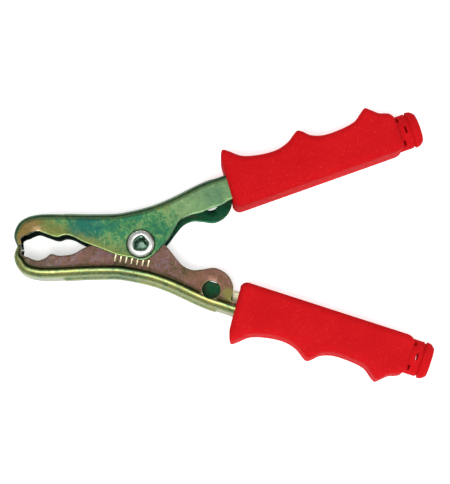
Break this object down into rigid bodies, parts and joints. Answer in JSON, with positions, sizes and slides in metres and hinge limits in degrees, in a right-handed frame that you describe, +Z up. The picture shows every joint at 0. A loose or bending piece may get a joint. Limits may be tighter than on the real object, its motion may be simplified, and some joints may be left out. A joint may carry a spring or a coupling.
{
  "type": "battery clamp",
  "caption": "Sprung crocodile-type battery clamp with overlapping pressed channel jaws, a tubular pivot rivet and finger-grooved grips with cable collars.",
  "frame": {"origin": "on the pivot axis, in the plane that the clamp lies on, under the rivet's flat head and the sides of both grips", "axes": "+X from the jaws to the grips, +Y towards the upper half, +Z up along the pivot axis, away from the surface that the clamp lies on"},
  "size_m": [0.133, 0.0866, 0.018],
  "materials": {
    "chromated_steel": "yellow zinc chromate on pressed steel, satin, with iridescent green, blue, tan and pink patches",
    "bright_zinc": "bright zinc plate, satin, on a set tubular rivet",
    "spring_steel": "oiled spring wire, satin",
    "red_vinyl": "soft moulded vinyl, matt with a fine grain"
  },
  "bodies": {
    "lower_half": {"lower_jaw": "chromated_steel", "lower_grip": "red_vinyl", "pivot_rivet": "bright_zinc", "torsion_spring": "spring_steel"},
    "upper_half": {"upper_jaw": "chromated_steel", "upper_grip": "red_vinyl"}
  },
  "joints": [
    {"name": "jaw_pivot", "type": "hinge", "parent": "lower_half", "child": "upper_half", "pos_m": [0, 0, 0.009], "axis": [0, 0, -1], "range_deg": [0, 36], "stiffness_Nm_per_rad": 1.6, "springref_deg": -20.05, "deforming": ["torsion_spring"]}
  ]
}
